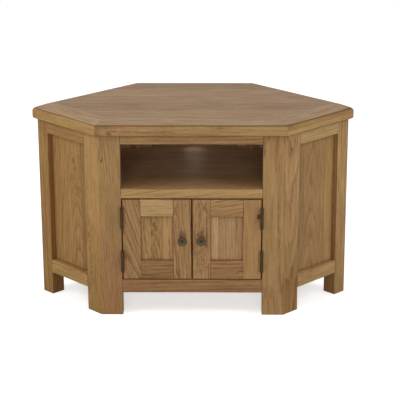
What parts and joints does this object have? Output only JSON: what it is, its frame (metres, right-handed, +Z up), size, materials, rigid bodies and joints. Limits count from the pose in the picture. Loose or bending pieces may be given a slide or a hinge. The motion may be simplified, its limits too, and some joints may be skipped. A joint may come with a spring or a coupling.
{
  "type": "corner tv cabinet",
  "caption": "Six-sided corner television cabinet in oak, with an open media bay over a cupboard with framed doors on butt hinges.",
  "frame": {"origin": "on the floor, under the middle of the whole in plan", "axes": "+X across the front towards its right-hand side, +Y towards the room's corner, +Z up"},
  "size_m": [0.9762, 0.5248, 0.6],
  "materials": {
    "top_oak": "satin lacquered oak, greyish sheen",
    "frame_oak": "satin lacquered oak",
    "panel_oak": "satin lacquered oak",
    "inner_oak": "satin lacquered oak",
    "knob_metal": "antique pewter",
    "hinge_metal": "antique bronze",
    "fixing_steel": "zinc plated",
    "catch_plastic": "brown moulded"
  },
  "bodies": {
    "carcass": {"top_field": "top_oak", "top_front_border": "top_oak", "top_left_border": "top_oak", "top_right_border": "top_oak", "front_left_post": "frame_oak", "front_right_post": "frame_oak", "left_side_post": "frame_oak", "right_side_post": "frame_oak", "rear_left_post": "frame_oak", "rear_right_post": "frame_oak", "front_top_rail": "frame_oak", "front_middle_rail": "frame_oak", "front_bottom_rail": "frame_oak", "right_side_top_rail": "frame_oak", "right_side_bottom_rail": "frame_oak", "right_side_panel": "panel_oak", "left_side_top_rail": "frame_oak", "left_side_bottom_rail": "frame_oak", "left_side_panel": "panel_oak", "right_wall_top_rail": "frame_oak", "right_wall_bottom_rail": "frame_oak", "right_wall_panel": "panel_oak", "left_wall_top_rail": "frame_oak", "left_wall_bottom_rail": "frame_oak", "left_wall_panel": "panel_oak", "rear_top_rail": "frame_oak", "rear_bottom_rail": "frame_oak", "rear_panel": "panel_oak", "shelf": "inner_oak", "bottom_board": "inner_oak", "left_door_upper_hinge_frame_leaf": "hinge_metal", "left_door_upper_hinge_pin": "hinge_metal", "left_door_lower_hinge_frame_leaf": "hinge_metal", "left_door_lower_hinge_pin": "hinge_metal", "right_door_upper_hinge_frame_leaf": "hinge_metal", "right_door_upper_hinge_pin": "hinge_metal", "right_door_lower_hinge_frame_leaf": "hinge_metal", "right_door_lower_hinge_pin": "hinge_metal", "door_catch": "catch_plastic"},
    "left_door": {"left_door_hinge_stile": "frame_oak", "left_door_lock_stile": "frame_oak", "left_door_top_rail": "frame_oak", "left_door_bottom_rail": "frame_oak", "left_door_panel": "panel_oak", "left_door_knob": "knob_metal", "left_door_knob_screw": "fixing_steel", "left_door_strike": "fixing_steel", "left_door_upper_hinge_door_leaf": "hinge_metal", "left_door_lower_hinge_door_leaf": "hinge_metal"},
    "right_door": {"right_door_hinge_stile": "frame_oak", "right_door_lock_stile": "frame_oak", "right_door_top_rail": "frame_oak", "right_door_bottom_rail": "frame_oak", "right_door_panel": "panel_oak", "right_door_knob": "knob_metal", "right_door_knob_screw": "fixing_steel", "right_door_strike": "fixing_steel", "right_door_upper_hinge_door_leaf": "hinge_metal", "right_door_lower_hinge_door_leaf": "hinge_metal"}
  },
  "joints": [
    {"name": "left_door_hinge", "type": "hinge", "parent": "carcass", "child": "left_door", "pos_m": [-0.2085, -0.24227, 0.242], "axis": [0, 0, -1], "range_deg": [0, 180]},
    {"name": "right_door_hinge", "type": "hinge", "parent": "carcass", "child": "right_door", "pos_m": [0.2085, -0.24227, 0.242], "axis": [0, 0, 1], "range_deg": [0, 180]}
  ]
}
